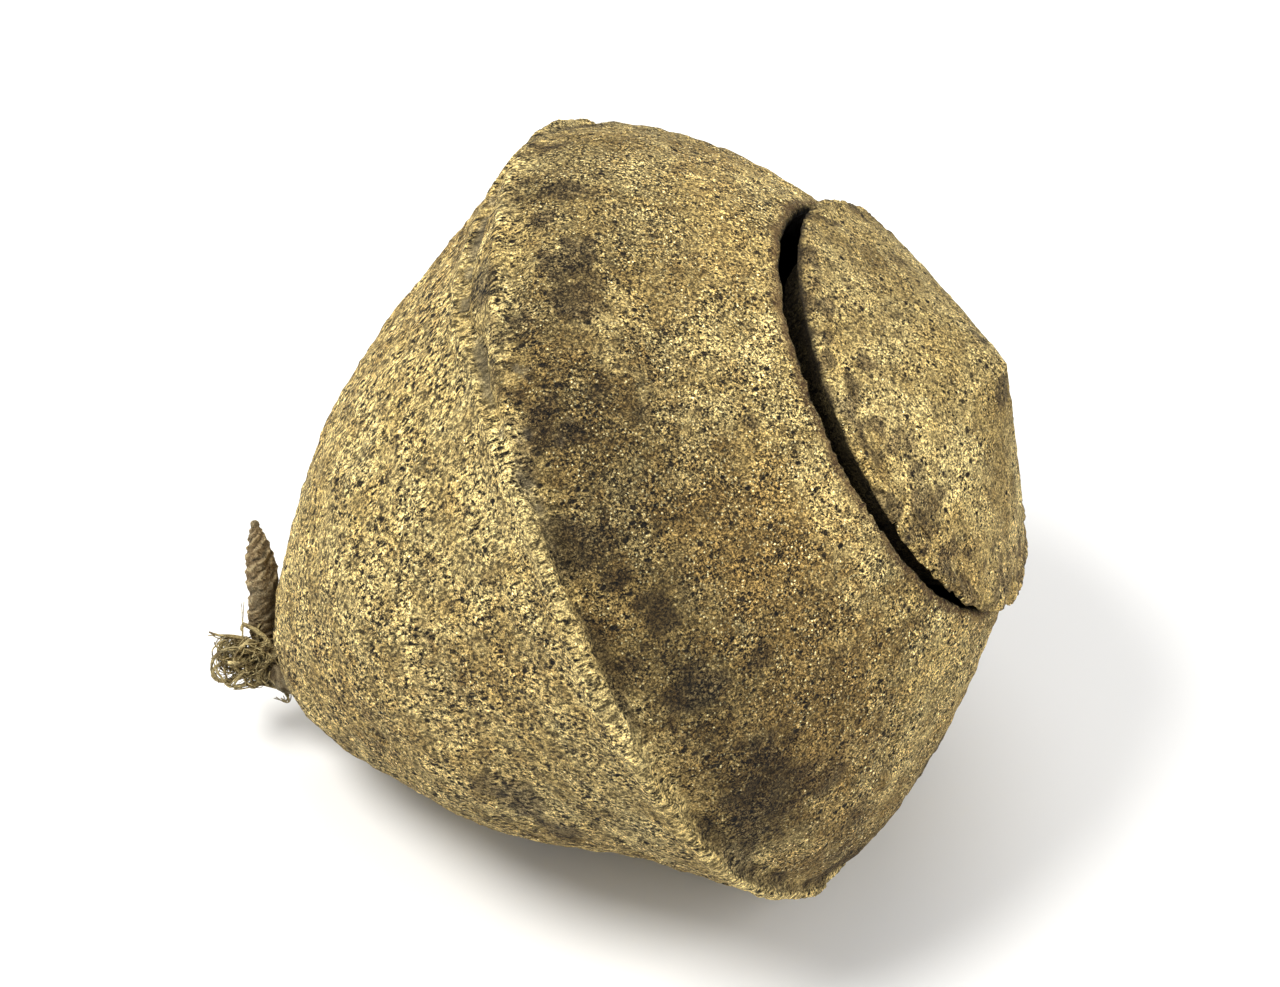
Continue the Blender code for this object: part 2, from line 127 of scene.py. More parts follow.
def take_up(item):
    put_down_everything()
    item.select_set(True)
    bpy.context.view_layer.objects.active = item


def bell(value, place, width):
    return math.exp(-(((value - place) / width) ** 2))


def share_of(value):
    return min(1.0, max(0.0, value))


def waver(point, size, shift=(0.0, 0.0, 0.0)):
    """Smooth noise from about -1 to 1, with lumps of this size in mm."""
    return noise.noise(point / (size * MM) + Vector(shift))


def to_fruit(point):
    """A point of the scene in the fruit's own axes: up, side and along its axis from the ring."""
    away = point - RING_CENTRE
    return Vector((away.dot(FRUIT_UP), away.dot(FRUIT_SIDE), away.dot(FRUIT_AXIS)))


def from_fruit(point):
    return RING_CENTRE + FRUIT_UP * point[0] + FRUIT_SIDE * point[1] + FRUIT_AXIS * point[2]


def around(point):
    """The angle round the fruit's axis, 0 on top."""
    return math.atan2(point.y, point.x)


def towards(point, side):
    """1 on this side of the fruit, given in degrees round its axis, and -1 opposite."""
    return math.cos(around(point) - math.radians(side))


def past_ring(point):
    """How far a point, in the fruit's axes, is past the ring towards the lid."""
    return point.z - RING_Z - RING_LEAN * towards(point, RING_HIGH_SIDE)


# Camera, light and floor

def from_picture(across, down, nearer):
    """The place seen at a pixel of the picture, this many millimetres nearer than the ring's centre."""
    shrink = (CAMERA_AWAY - nearer) / CAMERA_AWAY / PIXELS_PER_MM
    x = (across - PICTURE_MIDDLE[0]) * shrink - RING_ASIDE
    y = (down - PICTURE_MIDDLE[1]) * shrink - RING_BELOW
    return RING_CENTRE + (EYE_RIGHT * x - EYE_UP * y + EYE_BACK * nearer) * MM


def height_seen(place):
    """How far up the camera sees a place, from the ring's centre."""
    return (place - RING_CENTRE).dot(EYE_UP)


def set_camera():
    data = bpy.data.cameras.new("camera")
    data.lens = LENS
    data.sensor_width = SENSOR
    data.clip_start = 0.01
    camera = bpy.data.objects.new("camera", data)
    bpy.context.scene.collection.objects.link(camera)
    aside, below, away = RING_ASIDE * MM, RING_BELOW * MM, CAMERA_AWAY * MM
    camera.location = RING_CENTRE - EYE_RIGHT * aside + EYE_UP * below + EYE_BACK * away
    camera.rotation_euler = (math.pi / 2.0 - CAMERA_RISE, 0.0, 0.0)
    bpy.context.scene.camera = camera


def light_studio():
    for name, place, width, watts, colour in LIGHTS:
        data = bpy.data.lights.new(name, "AREA")
        data.shape = "DISK"
        data.size = width
        data.energy = watts
        data.color = colour
        light = bpy.data.objects.new(name, data)
        bpy.context.scene.collection.objects.link(light)
        light.location = place
        light.rotation_euler = (Vector(LIT_PLACE) - Vector(place)).to_track_quat("-Z", "Y").to_euler()
    world = bpy.data.worlds.new("studio")
    world.use_nodes = True
    sky = world.node_tree.nodes["Background"]
    sky.inputs["Color"].default_value = (1.0, 1.0, 1.0, 1.0)
    sky.inputs["Strength"].default_value = SKY_STRENGTH
    bpy.context.scene.world = world
    bpy.context.scene.view_settings.view_transform = "Standard"


def lay_floor():
    put_down_everything()
    bpy.ops.mesh.primitive_plane_add(size=FLOOR_WIDTH, location=(0.0, 0.0, FLOOR_LEVEL))
    floor = bpy.context.object
    floor.name = "floor"
    material = bpy.data.materials.new("pale_floor")
    material.use_nodes = True
    shader = material.node_tree.nodes["Principled BSDF"]
    shader.inputs["Base Color"].default_value = FLOOR_COLOUR
    shader.inputs["Roughness"].default_value = 0.9
    floor.data.materials.append(material)


# Materials

class Recipe:
    """A material's nodes, added one after another."""

    def __init__(self, name, roughness):
        self.material = bpy.data.materials.new(name)
        self.material.use_nodes = True
        self.nodes = self.material.node_tree.nodes
        self.links = self.material.node_tree.links
        self.shader = self.nodes["Principled BSDF"]
        self.shader.inputs["Metallic"].default_value = 0.0
        self.shader.inputs["Roughness"].default_value = roughness
        self.shader.inputs["Specular IOR Level"].default_value = 0.25
        self.place = self.nodes.new("ShaderNodeTexCoord").outputs["Object"]

    def add(self, kind, values=(), **settings):
        node = self.nodes.new(kind)
        for key, value in settings.items():
            setattr(node, key, value)
        for key, value in values:
            if isinstance(value, bpy.types.NodeSocket):
                self.links.new(value, node.inputs[key])
            else:
                node.inputs[key].default_value = value
        return node

    def turned_place(self):
        """Places in the fruit's own axes, for patterns that run along the fruit."""
        turn = Matrix((FRUIT_UP, FRUIT_SIDE, FRUIT_AXIS)).transposed().to_euler()
        values = (("Vector", self.place), ("Location", RING_CENTRE), ("Rotation", turn))
        return self.add("ShaderNodeMapping", values, vector_type="TEXTURE").outputs["Vector"]

    def stretched(self, place, scale):
        return self.add("ShaderNodeMapping", (("Vector", place), ("Scale", scale))).outputs["Vector"]

    def cloud(self, place, size, detail, roughness=0.55, distortion=0.0):
        """Soft noise whose lumps are about size metres."""
        node = self.add("ShaderNodeTexNoise", (
            ("Vector", place), ("Scale", 1.0 / size), ("Detail", detail), ("Roughness", roughness),
            ("Distortion", distortion)))
        return node.outputs["Fac"]

    def cells(self, place, size, feature="F1"):
        """Cells about size metres apart: the distance in each and, to its middle only, a random colour."""
        node = self.add("ShaderNodeTexVoronoi", (("Vector", place), ("Scale", 1.0 / size)), feature=feature)
        return node.outputs["Distance"], node.outputs["Color"] if feature == "F1" else None

    def ramp(self, value, low, high, out_low=0.0, out_high=1.0, smooth=True):
        node = self.add("ShaderNodeMapRange", (
            ("Value", value), ("From Min", low), ("From Max", high), ("To Min", out_low), ("To Max", out_high)))
        node.interpolation_type = "SMOOTHSTEP" if smooth else "LINEAR"
        node.clamp = True
        return node.outputs["Result"]

    def sums(self, operation, first, second):
        return self.add("ShaderNodeMath", ((0, first), (1, second)), operation=operation).outputs[0]

    def times(self, first, second):
        return self.sums("MULTIPLY", first, second)

    def plus(self, first, second):
        return self.sums("ADD", first, second)

    def most(self, *values):
        """The largest of some values."""
        largest = values[0]
        for value in values[1:]:
            largest = self.sums("MAXIMUM", largest, value)
        return largest

    def part(self, colour, name):
        """One part of a colour, Red, Green or Blue, as a value."""
        return self.add("ShaderNodeSeparateColor", (("Color", colour),)).outputs[name]

    def mix(self, share, under, over, blend="MIX"):
        """Colour over laid on colour under by share."""
        node = self.nodes.new("ShaderNodeMix")
        node.data_type = "RGBA"
        node.blend_type = blend
        node.clamp_factor = True
        for socket, value in ((node.inputs[0], share), (node.inputs[6], under), (node.inputs[7], over)):
            if isinstance(value, bpy.types.NodeSocket):
                self.links.new(value, socket)
            elif isinstance(value, (int, float)):
                socket.default_value = value
            else:
                socket.default_value = (*value, 1.0)
        return node.outputs[2]

    def dimmed(self, colour, level):
        """A colour made darker or brighter by a level."""
        grey = self.add("ShaderNodeCombineColor", (("Red", level), ("Green", level), ("Blue", level)))
        return self.mix(1.0, colour, grey.outputs["Color"], "MULTIPLY")

    def stored(self, name):
        """A value stored on the mesh's points."""
        return self.add("ShaderNodeAttribute", attribute_name=name, attribute_type="GEOMETRY").outputs["Fac"]

    def bump(self, height, depth, under=None):
        values = [("Height", height), ("Distance", depth), ("Strength", 1.0)]
        if under is not None:
            values.append(("Normal", under))
        return self.add("ShaderNodeBump", values).outputs["Normal"]

    def finish(self, colour, normal, roughness=None):
        self.links.new(colour, self.shader.inputs["Base Color"])
        self.links.new(normal, self.shader.inputs["Normal"])
        if roughness is not None:
            self.links.new(roughness, self.shader.inputs["Roughness"])
        return self.material


# Linear colours of the dried wood and what grows on it
TAN = (0.410, 0.298, 0.106)
PALE_TAN = (0.570, 0.445, 0.185)
CREAM = (0.900, 0.790, 0.420)
OCHRE = (0.215, 0.135, 0.040)
RUST = (0.120, 0.066, 0.027)
UMBER = (0.085, 0.058, 0.024)
# Near black, for painted shade in pits, cracks, creases and the hollow
SHADOW_BLACK = (0.016, 0.011, 0.005)
GREY_FILM = (0.150, 0.130, 0.080)
# Dims the dark blotches, and paints the shadow of the groove beside the crest
BLOTCH_AND_SHADOW_GREY = (0.40, 0.39, 0.42)
BARK = (0.185, 0.125, 0.060)
BARK_PALE = (0.620, 0.490, 0.270)
STRAW = (0.190, 0.135, 0.055)
STRAW_PALE = (0.700, 0.570, 0.270)


# How wide the rind's patterns are, and how deep the bump
CLOUD_WIDTH = 11.0 * MM
PATCH_WIDTH = 5.5 * MM
MOTTLE_WIDTH = 3.0 * MM
STREAK_WIDTH = 1.3 * MM
COMBED_WIDTH = 0.56 * MM
CURLED_WIDTH = 0.46 * MM
FINE_WIDTH = 0.28 * MM
CRUMB_WIDTH = 0.50 * MM
CRACKED_WIDTH = 0.95 * MM
CRACK_SWAY = 0.0014                   # how far the cracks wander
RIND_DEPTH = 1.0 * MM
# Dashes: how long for their width, how far apart, and from which to which draw of a cell it has one
DASHES = ((2.2, 0.90 * MM, 0.55, 0.66), (1.6, 1.6 * MM, 0.64, 0.72), (1.3, 0.66 * MM, 0.50, 0.60))
# The same widths and depths for the bark
WRINKLE_WIDTH = 0.55 * MM
WRINKLE_DEPTH = 0.45 * MM
FIBRE_WIDTH = 0.22 * MM
FIBRE_DEPTH = 0.16 * MM


def dashes(rind, along):
    """Short pits drawn out along the fruit, of each kind: how deep in one."""
    pits = []
    for length, size, share_low, share_high in DASHES:
        far, tint = rind.cells(rind.stretched(along, (1.0, 1.0, 1.0 / length)), size)
        picked = rind.ramp(rind.part(tint, "Green"), share_low, share_high)
        pits.append(rind.times(rind.ramp(far, 0.16, 0.34, 1.0, 0.0), picked))
    return pits


def cracks(rind, place):
    """Thin wandering cracks round crumbs: how deep in one."""
    sway = rind.add("ShaderNodeTexNoise", (
        ("Vector", place), ("Scale", 1.6 / CRACKED_WIDTH), ("Detail", 2.0))).outputs["Color"]
    moved = rind.add("ShaderNodeMix", ((0, CRACK_SWAY), (4, place), (5, sway)), data_type="VECTOR")
    far, _ = rind.cells(moved.outputs[1], CRACKED_WIDTH, "DISTANCE_TO_EDGE")
    return rind.ramp(far, 0.02, 0.16, 1.0, 0.0)


def woody_skin(name):
    """The dried rind, by the values stored on its points: tan wood, stained, filmed, cracked and grainy, with
    painted shade in its pits, cracks, groove and hollow, and painted shading by side.
    """
    rind = Recipe(name, 0.85)
    place = rind.place
    along = rind.turned_place()
    crust, stain, blotch_and_shadow = rind.stored("crust"), rind.stored("stain"), rind.stored("blotch_and_shadow")
    pale_crest_band, film, painted_light_and_tone = rind.stored("pale_crest_band"), rind.stored("film"), rind.stored("painted_light_and_tone")
    combing = rind.stored("combed")

    broad = rind.cloud(place, CLOUD_WIDTH, 2.0, 0.6, 0.5)
    mottle = rind.cloud(place, MOTTLE_WIDTH, 4.0, 0.66, 0.8)
    patch = rind.cloud(place, PATCH_WIDTH, 4.0, 0.62, 0.8)
    streak = rind.cloud(rind.stretched(along, (1.0, 1.0, 0.16)), STREAK_WIDTH, 3.0, 0.65, 0.4)
    combed = rind.cloud(rind.stretched(along, (1.0, 1.0, 0.30)), COMBED_WIDTH, 3.0, 0.66, 0.35)
    curled = rind.cloud(place, CURLED_WIDTH, 3.0, 0.66, 0.9)
    drawn = rind.plus(rind.times(combed, combing), rind.times(curled, rind.sums("SUBTRACT", 1.0, combing)))
    fine = rind.cloud(place, FINE_WIDTH, 2.0, 0.6, 0.3)

    # Wood in two tans, stained ochre and streaked
    colour = rind.mix(rind.ramp(broad, 0.35, 0.66), TAN, PALE_TAN)
    stained = rind.plus(rind.times(stain, 0.85), rind.times(rind.ramp(mottle, 0.40, 0.66), 0.45))
    colour = rind.mix(rind.sums("MINIMUM", stained, 0.95), colour, OCHRE)
    colour = rind.mix(rind.times(rind.ramp(streak, 0.54, 0.70), 0.35), colour, UMBER)

    # Grey film, and dark blotches with the painted shadow of the groove beside the crest, their edges broken up by
    # the mottling
    film_edge = rind.plus(film, rind.plus(mottle, rind.times(drawn, 0.5)))
    film_share = rind.ramp(film_edge, 1.10, 1.46)
    blotch_and_shadow_edge = rind.plus(blotch_and_shadow, rind.times(rind.plus(mottle, drawn), 0.40))
    blotch_and_shadow_share = rind.ramp(blotch_and_shadow_edge, 0.62, 0.92)
    colour = rind.mix(rind.times(film_share, 0.70), colour, GREY_FILM)
    colour = rind.mix(blotch_and_shadow_share, colour, BLOTCH_AND_SHADOW_GREY, "MULTIPLY")

    # How rough it is: less so under film, and not evenly
    rough = rind.times(rind.ramp(film_share, 0.0, 1.0, 1.0, 0.66), rind.ramp(patch, 0.36, 0.60, 0.74, 1.18))

    # Pale crumbs in some cells, and what is sunk between them
    crumbs_far, crumbs_tint = rind.cells(place, CRUMB_WIDTH)
    picked = rind.plus(rind.part(crumbs_tint, "Red"), rind.times(crust, 0.45))
    crumb = rind.times(rind.ramp(crumbs_far, 0.18, 0.42, 1.0, 0.0), rind.ramp(picked, 0.78, 1.02))
    crumb = rind.times(crumb, rind.ramp(blotch_and_shadow_share, 0.0, 0.8, 1.0, 0.15))
    groove = rind.times(rind.ramp(crumbs_far, 0.46, 0.70), rind.ramp(crust, 0.15, 0.9, 0.15, 0.95))
    groove = rind.times(groove, rind.ramp(drawn, 0.35, 0.60, 1.0, 0.35))
    crusted = rind.plus(mottle, rind.times(crust, 0.35))
    crack = rind.times(cracks(rind, place), rind.ramp(crusted, 0.50, 0.72, 0.10, 0.80))
    crack = rind.times(crack, rind.ramp(drawn, 0.36, 0.58, 1.0, 0.30))
    marks = rind.most(*dashes(rind, along), groove, crack)
    crumb_share = rind.times(rind.times(crumb, rough), rind.ramp(fine, 0.38, 0.56, 0.25, 0.85))
    colour = rind.mix(crumb_share, colour, CREAM)
    # Sunk pits, grooves and cracks get painted shade, near black
    colour = rind.mix(rind.times(rind.times(marks, rough), 0.96), colour, SHADOW_BLACK)
    colour = rind.mix(rind.times(pale_crest_band, rind.ramp(drawn, 0.35, 0.6, 0.25, 0.80)), colour, PALE_TAN)

    # The fine grain, random tone and the stored painted shading, then the rim and the hollow, painted near black
    # as shade
    grain = rind.ramp(drawn, 0.40, 0.62, 0.18, 2.10, smooth=False)
    grain = rind.times(grain, rind.ramp(fine, 0.38, 0.64, 0.40, 1.75, smooth=False))
    grain = rind.plus(1.0, rind.times(rind.plus(grain, -1.0), rough))
    level = rind.times(rind.times(grain, painted_light_and_tone), rind.ramp(patch, 0.34, 0.64, 0.86, 1.24))
    colour = rind.dimmed(colour, level)
    colour = rind.mix(rind.stored("rim"), colour, RUST)
    colour = rind.mix(rind.stored("inside"), colour, SHADOW_BLACK)

    # One bump for all of it
    raised = rind.plus(rind.times(crumb, 0.55), rind.times(marks, -1.0))
    height = rind.plus(rind.times(mottle, 1.1), rind.times(raised, 0.34))
    height = rind.plus(height, rind.times(rind.plus(drawn, rind.times(fine, 0.5)), 0.60))
    normal = rind.bump(rind.times(height, rough), RIND_DEPTH)
    return rind.finish(colour, normal, rind.ramp(film_share, 0.0, 1.0, 0.90, 0.72))


def bark_skin(name, dark, pale, thread):
    """Dried bark: wrinkled, its raised layers worn paler and its creases painted dark as shade; thread is how
    drawn out the wrinkles are.
    """
    bark = Recipe(name, 0.88)
    wrinkle = bark.cloud(bark.stretched(bark.place, thread), WRINKLE_WIDTH, 4.0, 0.68, 0.8)
    fine = bark.cloud(bark.place, FIBRE_WIDTH, 2.0, 0.6)
    broad = bark.cloud(bark.place, MOTTLE_WIDTH, 3.0)
    pale_share = bark.plus(bark.times(bark.stored("raised"), 0.75), bark.ramp(wrinkle, 0.50, 0.70, 0.0, 0.5))
    colour = bark.mix(bark.sums("MINIMUM", pale_share, 1.0), dark, pale)
    # Painted shade in the creases and in the wrinkles' troughs
    shaded_creases = bark.most(bark.stored("painted_shadow"), bark.ramp(wrinkle, 0.36, 0.46, 0.85, 0.0))
    colour = bark.mix(shaded_creases, colour, SHADOW_BLACK)
    colour = bark.mix(bark.ramp(broad, 0.50, 0.66, 0.0, 0.45), colour, GREY_FILM)
    colour = bark.dimmed(colour, bark.ramp(fine, 0.32, 0.70, 0.60, 1.50, smooth=False))
    normal = bark.bump(wrinkle, WRINKLE_DEPTH)
    normal = bark.bump(fine, FIBRE_DEPTH, normal)
    return bark.finish(colour, normal)


# Making the pieces

def node_copy(node, name):
    """A merged copy of a node's mesh, with its squares restored."""
    item = bpy.data.objects.new(name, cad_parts[node].data.copy())
    item.data.materials.clear()
    bpy.context.scene.collection.objects.link(item)
    take_up(item)
    bpy.ops.object.mode_set(mode="EDIT")
    bpy.ops.mesh.select_all(action="SELECT")
    bpy.ops.mesh.remove_doubles(threshold=1e-6)
    bpy.ops.mesh.tris_convert_to_quads(face_threshold=math.radians(60.0), shape_threshold=math.radians(60.0))
    bpy.ops.object.mode_set(mode="OBJECT")
    return item


def apply_modifier(item, name, kind, **settings):
    take_up(item)
    modifier = item.modifiers.new(name, kind)
    for key, value in settings.items():
        setattr(modifier, key, value)
    bpy.ops.object.modifier_apply(modifier=name)


def even_mesh(item, levels, size):
    """Rounds a piece and gives it a mesh of even squares."""
    apply_modifier(item, "round", "SUBSURF", levels=levels, render_levels=levels)
    apply_modifier(item, "even_mesh", "REMESH", mode="VOXEL", voxel_size=size)


def roughen(item, reliefs):
    """Lumps that stand out of the surface and sink into it: name, size and height of each kind."""
    for name, size, height in reliefs:
        texture = bpy.data.textures.new(name, "CLOUDS")
        texture.noise_scale = size
        apply_modifier(item, name, "DISPLACE", texture=texture, strength=height, mid_level=0.5,
                       texture_coords="LOCAL")


def store(item, stored):
    """Keeps values on the mesh's points, under the names that the materials read."""
    for name, values in stored.items():
        attribute = item.data.attributes.new(name, "FLOAT", "POINT")
        attribute.data.foreach_set("value", values)


def move_points(item, places):
    item.data.vertices.foreach_set("co", [value for place in places for value in place])
    item.data.update()


def hold_between(item, low, high):
    for vert in item.data.vertices:
        for axis in range(3):
            vert.co[axis] = min(max(vert.co[axis], low[axis]), high[axis])


def keep_inside(item, node):
    """Holds the finished surface inside the box of the node that it stands for."""
    low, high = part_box(node)
    hold_between(item, low, high)


# What woody_skin reads from the points of the pot and of the lid
RIND_VALUES = ("crust", "stain", "blotch_and_shadow", "pale_crest_band", "film", "rim", "inside", "painted_light_and_tone", "combed")


# The pot

# Dark blotches of the rind: along the axis and across in mm, degrees round, and how dark
BLOTCHES = (
    (7.1, 54, 2.3, 0.9), (10.1, 62, 3.6, 0.85), (17.5, 77, 2.8, 0.7), (8.7, 75, 4.6, 0.9),
    (8.7, 98, 9.0, 0.75), (28.7, 38, 1.8, 0.6), (3.7, 44, 2.6, 0.6), (4.9, 50, 2.8, 0.7),
    (12.5, 350, 4.2, 0.6), (13.5, 5, 4.6, 0.75), (12.8, 12, 4.4, 0.7), (9.4, 356, 3.6, 0.5),
    (9.3, 33, 3.2, 0.75), (5.4, 30, 3.2, 0.75), (13.8, 28, 3.2, 0.45), (17.6, 32, 3.4, 0.45), (21.5, 33, 3.0, 0.4),
    (6.0, 14, 3.4, 0.55), (7.8, 27, 2.6, 0.5), (14.0, 60, 2.6, 0.4), (20.0, 66, 3.0, 0.35), (24.0, 88, 3.2, 0.4),
    (-11.2, 36, 1.6, 0.6), (-27.9, 52, 2.4, 0.45), (-27.6, 63, 7.0, 0.35), (-30.6, 91, 8.0, 0.65),
    (-25.1, 15, 2.6, 0.35), (-29.0, 102, 6.0, 0.6), (14.1, 106, 5.5, 0.6), (10.5, 122, 5.0, 0.45),
    (16.0, 150, 6.0, 0.6), (4.0, 205, 7.0, 0.6), (20.0, 250, 6.0, 0.6), (9.0, 300, 5.0, 0.5),
    (-20.0, 190, 7.0, 0.5), (-36.0, 240, 8.0, 0.5), (-14.0, 290, 5.0, 0.4), (-45.0, 150, 7.0, 0.5),
)
# Smooth grey film: the same measures
FILMS = (
    (-7.5, 357, 1.9, 0.5), (-10.6, 2, 2.0, 0.45), (-8.5, 8, 2.2, 0.4), (-0.6, 6, 2.6, 0.5), (4.4, 22, 2.2, 0.55),
    (3.5, 31, 2.6, 0.6), (7.5, 33, 3.0, 0.55), (9.5, 31, 2.6, 0.55), (6.0, 12, 3.0, 0.4), (-26.0, 96, 7.0, 0.30),
    (20.0, 98, 9.0, 0.25), (3.0, 230, 5.0, 0.6), (-6.0, 150, 5.0, 0.5), (24.0, 200, 6.0, 0.5),
)
# Where the crisp edge runs: degrees round, and mm past the ring. It leaves the ring for a lower ledge on top
EDGE = ((300, 1.0), (320, 0.0), (335, -3.5), (346, -7.0), (359, -9.4), (368, -8.8), (374, -6.2), (380, -5.1),
        (386, -3.8), (392, -2.2), (399, -0.1), (406, 1.0), (420, 1.3), (450, 1.2))
EDGE_ELSEWHERE = 1.0
CRISP_SIDE = 45.0                     # where the edge is crispest
LEDGE_SIDE = 5.0                      # the middle of the ledge
LIP_HEIGHT = 0.75                     # mm
SPOT_REACH = 1.8                      # no spot shows farther off than this many of its reaches
POT_RELIEF = (("lumps", 5.0 * MM, 0.9 * MM), ("grit", 1.7 * MM, 0.55 * MM))


def spot_places(spots):
    """Each spot's place on the pot's outside, its reach and its strength."""
    places = []
    for along, degrees, reach, strength in spots:
        angle = math.radians(degrees)
        direction = Vector((math.cos(angle), math.sin(angle), 0.0))
        places.append((along * MM, direction, reach * MM, strength))
    return places


def spotted(point, places):
    """How strongly the nearest spots cover a point, with wavering edges."""
    radius = math.hypot(point.x, point.y)
    near = []
    for along, direction, reach, strength in places:
        if abs(point.z - along) < SPOT_REACH * reach:
            around_it = math.hypot(point.x - direction.x * radius, point.y - direction.y * radius)
            if around_it < SPOT_REACH * reach:
                near.append((math.hypot(point.z - along, around_it), reach, strength))
    if not near:
        return 0.0
    wavy = 1.0 + 0.7 * waver(point, 4.0) + 0.5 * waver(point, 1.7)
    return max(strength * bell(apart * wavy / reach, 0.0, 0.85) for apart, reach, strength in near)


def past_edge(point):
    """Mm past the crisp edge, which wanders a little, and how crisp it is here."""
    degrees = math.degrees(around(point)) % 360.0
    if degrees < 180.0:
        degrees += 360.0
    line = EDGE_ELSEWHERE
    for (start, low), (end, high) in zip(EDGE, EDGE[1:]):
        if start <= degrees <= end:
            line = low + (high - low) * (degrees - start) / (end - start)
    wander = 0.9 * waver(point, 12.0) + 0.35 * waver(point, 2.6)
    crisp = 0.35 + 0.65 * share_of(0.75 + 0.6 * towards(point, CRISP_SIDE) + 0.5 * wander)
    return past_ring(point) / MM - line + wander, crisp


def crest_shape(point):
    """The ring's crisp edge and the groove on its lid side, as a height."""
    past, crisp = past_edge(point)
    groove = 0.30 + 0.55 * share_of(towards(point, LEDGE_SIDE) * 2.2 - 0.9)
    lip = LIP_HEIGHT * bell(past, 0.0, 2.2 if past < 0.0 else 0.45)
    return crisp * (lip - groove * bell(past, 1.7, 1.2)) * MM


def pot_values(point, outward, dark_spots, film_spots):
    """The rind's values at a point of the pot, in the fruit's axes; outward is how far it faces outwards."""
    radius = math.hypot(point.x, point.y)
    past = past_ring(point)
    over_edge, crisp = past_edge(point)
    cloudy = waver(point, 9.0)
    broad = waver(point, 26.0, (4.0, 4.0, 4.0))
    patchy = waver(point, 3.5, (1.0, 8.0, 2.0))
    # Faces inside the hollow, which are painted near black as shade
    inner = share_of(-outward / 0.2) if radius < HOLLOW_RADIUS else 0.0

    # Crust and ochre stain on the shoulder, less of both under the mouth
    shoulder = share_of((past - 0.5 * MM) / (5.0 * MM))
    under_mouth = share_of((point.z - 22.0 * MM) / (10.0 * MM))
    ochre_side = share_of(1.2 * towards(point, 65.0))
    crust = 0.22 + 0.40 * shoulder * (1.0 - 0.5 * under_mouth) + 0.75 * cloudy
    stain = (0.02 + shoulder * (0.10 + 0.62 * ochre_side) * (1.0 - 0.75 * under_mouth)
             + 0.75 * broad + 0.35 * patchy)

    # Beside the edge: film on the ledge, a painted groove shadow elsewhere, smoky mottling past both, and a paler
    # band on the crest's flank side
    lid_side = share_of(over_edge / 0.3)
    on_ledge = share_of(2.4 * towards(point, LEDGE_SIDE) - 1.2)
    strip = lid_side * bell(over_edge, 1.3, 1.6) * (0.12 + 0.88 * on_ledge)
    smoky = 0.50 * lid_side * bell(over_edge, 5.0, 7.5) * share_of(0.50 + 1.2 * cloudy + 0.7 * patchy)
    # The painted shadow of the groove on the crest's lid side
    groove_shadow = 0.85 * (1.0 - 0.7 * on_ledge) * crisp * lid_side * bell(over_edge, 1.2, 2.3)
    groove_shadow *= share_of(0.62 + 0.8 * cloudy + 0.5 * patchy)
    pale_crest_band = 0.9 * bell(over_edge, -0.9, 1.1) * share_of(0.75 + 0.7 * cloudy + 0.5 * patchy)

    # The rust-brown rim of the mouth
    mouth_level = MOUTH_Z - MOUTH_LEAN * towards(point, MOUTH_LOW_SIDE)
    at_mouth = share_of((point.z - mouth_level + 1.0 * MM + 0.5 * MM * patchy) / (0.8 * MM))
    at_mouth *= share_of((radius - MOUTH_INNER) / MM)
    rim = 0.8 * at_mouth * (1.0 - inner) * share_of((MOUTH_OUTER - radius) / (3.0 * MM))

    # Painted shading: painted shade low on the flank and under the crest, darker mid-shoulder, painted light
    # towards the mouth, and random tone
    low_flank = share_of(-past / (6.0 * MM)) * share_of(0.5 - 0.75 * towards(point, 330.0))
    under_crest = bell(over_edge, 9.0, 8.0) * share_of(0.4 + towards(point, 40.0))
    middle = share_of(2.2 * towards(point, 45.0) - 1.0) * bell(past / MM, 16.0, 12.0)
    near_mouth = share_of((past - 12.0 * MM) / (10.0 * MM))
    upper = share_of(0.2 + towards(point, 350.0))
    lower = share_of(3.0 * towards(point, 95.0) - 1.6)
    painted_light_and_tone = (1.02 - 0.24 * middle - 0.26 * low_flank - 0.22 * under_crest + 0.10 * broad
             + near_mouth * (0.22 * upper + 0.18 * lower))
    return {
        "crust": share_of(crust),
        "stain": share_of(stain),
        "blotch_and_shadow": share_of(max(spotted(point, dark_spots), smoky, groove_shadow)),
        "pale_crest_band": pale_crest_band,
        "film": share_of(max(spotted(point, film_spots), 0.75 * strip * share_of(0.85 + patchy))),
        "rim": rim,
        "inside": inner,
        "painted_light_and_tone": painted_light_and_tone,
        "combed": 1.0 - 0.85 * share_of((past - 1.0 * MM) / (3.0 * MM)),
    }


def finish_pot():
    pot = node_copy("pot", "pot_rind")
    even_mesh(pot, 2, POT_MESH)
    dark_spots, film_spots = spot_places(BLOTCHES), spot_places(FILMS)
    stored = {name: [] for name in RIND_VALUES}
    places = []
    for vert in pot.data.vertices:
        point = to_fruit(vert.co)
        outward = vert.normal.dot((vert.co - from_fruit((0.0, 0.0, point.z))).normalized())
        values = pot_values(point, outward, dark_spots, film_spots)
        for name in RIND_VALUES:
            stored[name].append(values[name])
        places.append(vert.co + vert.normal * (crest_shape(point) * (1.0 - values["inside"])))
    move_points(pot, places)
    store(pot, stored)
    hollow = pot.vertex_groups.new(name="hollow")
    hollow.add([index for index, inner in enumerate(stored["inside"]) if inner > 0.99], 1.0, "REPLACE")
    apply_modifier(pot, "thin_hollow", "DECIMATE", ratio=KEPT_SHARE, vertex_group="hollow")
    roughen(pot, POT_RELIEF)
    keep_inside(pot, "pot")
    take_up(pot)
    bpy.ops.object.shade_smooth()
    pot.data.materials.append(woody_skin("pot_rind"))
    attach(pot, "root")
    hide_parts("pot")


# The lid

